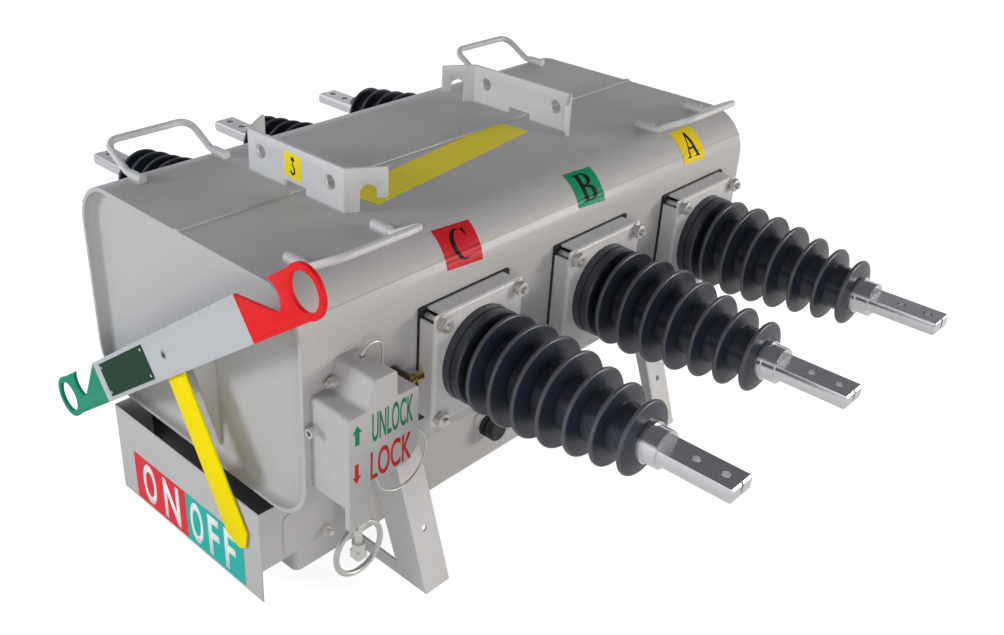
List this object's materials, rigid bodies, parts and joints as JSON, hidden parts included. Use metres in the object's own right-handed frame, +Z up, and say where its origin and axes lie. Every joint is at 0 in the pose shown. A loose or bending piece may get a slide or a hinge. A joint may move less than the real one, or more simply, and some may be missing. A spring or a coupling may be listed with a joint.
{
  "type": "gas-insulated load break switch",
  "caption": "Sealed grey tank with ribbed side bushings and flat terminal pads, worked by a double-ended hook lever with a position pointer.",
  "frame": {"origin": "on the ground, under the middle of the overall length", "axes": "+X along the tank away from the lever end, +Y across it towards the far bushings, +Z up"},
  "size_m": [1.1436, 1.544, 0.6843],
  "materials": {
    "tank_paint": "semi-gloss light grey paint",
    "bushing_rubber": "blue-black satin",
    "terminal_metal": "bright tinned, machined",
    "fastener_zinc": "zinc plated",
    "shaft_steel": "ground steel",
    "bearing_bronze": "bronze",
    "contact_copper": "silvered copper",
    "contact_plastic": "moulded insulating resin",
    "seal_rubber": "matte black",
    "lever_paint": "grey paint with red and green ends",
    "nameplate_green": "dark green enamel, blank",
    "pointer_yellow": "yellow paint",
    "spring_steel": "oiled spring steel",
    "dryer_cloth": "white woven bag",
    "receptacle_black": "matte black",
    "ring_zinc": "zinc plated rod",
    "bracket_brown": "brown phosphate",
    "valve_brass": "turned brass"
  },
  "bodies": {
    "tank": {"bushing_gaskets": "seal_rubber", "bushing_nuts": "fastener_zinc", "bushing_studs": "fastener_zinc", "dryer_pack": "dryer_cloth", "far_bushing_a": "bushing_rubber", "far_bushing_b": "bushing_rubber", "far_bushing_c": "bushing_rubber", "far_cover_plate_a": "tank_paint", "far_cover_plate_b": "tank_paint", "far_cover_plate_c": "tank_paint", "far_terminal_a": "terminal_metal", "far_terminal_b": "terminal_metal", "far_terminal_c": "terminal_metal", "fixed_contacts": "contact_copper", "front_end_plate": "tank_paint", "front_far_lifting_handle": "tank_paint", "front_hanger_bracket": "tank_paint", "front_near_lifting_handle": "tank_paint", "front_stand": "tank_paint", "gas_valve": "valve_brass", "indicator_tray": "tank_paint", "interlock_cover": "tank_paint", "lower_box": "tank_paint", "near_bushing_a": "bushing_rubber", "near_bushing_b": "bushing_rubber", "near_bushing_c": "bushing_rubber", "near_cover_plate_a": "tank_paint", "near_cover_plate_b": "tank_paint", "near_cover_plate_c": "tank_paint", "near_terminal_a": "terminal_metal", "near_terminal_b": "terminal_metal", "near_terminal_c": "terminal_metal", "outlet_receptacle": "receptacle_black", "rear_end_plate": "tank_paint", "rear_far_lifting_handle": "tank_paint", "rear_hanger_bracket": "tank_paint", "rear_near_lifting_handle": "tank_paint", "rear_stand": "tank_paint", "receptacle_plate": "tank_paint", "shaft_bushes": "bearing_bronze", "shaft_seal": "seal_rubber", "shaft_support": "tank_paint", "small_fasteners": "fastener_zinc", "tank_shell": "tank_paint", "valve_bracket": "bracket_brown"},
    "operating_shaft": {"main_shaft": "shaft_steel", "operating_lever": "lever_paint", "lever_nameplate": "nameplate_green", "nameplate_rivets": "fastener_zinc", "position_pointer": "pointer_yellow", "lever_hub": "tank_paint", "moving_contacts": "contact_copper", "contact_clamps": "contact_plastic", "snap_spring": "spring_steel", "spring_plates": "spring_steel"},
    "lock_slider": {"lock_slider": "shaft_steel"},
    "pull_ring": {"pull_ring": "ring_zinc"},
    "side_ring": {"side_ring": "ring_zinc"}
  },
  "joints": [
    {"name": "lever_turn", "type": "hinge", "parent": "tank", "child": "operating_shaft", "pos_m": [-0.5662, 0, 0.403], "axis": [1, 0, 0], "range_deg": [0, 60]},
    {"name": "lock_slide", "type": "slide", "parent": "tank", "child": "lock_slider", "axis": [0, 0, 1], "range_m": [0, 0.022]},
    {"name": "pull_ring_swing", "type": "hinge", "parent": "lock_slider", "child": "pull_ring", "pos_m": [-0.4832, -0.341, 0.2363], "axis": [1, 0, 0], "range_deg": [-30, 30]},
    {"name": "side_ring_swing", "type": "hinge", "parent": "tank", "child": "side_ring", "pos_m": [-0.3632, -0.304, 0.322], "axis": [1, 0, 0], "range_deg": [-40, 20]}
  ]
}
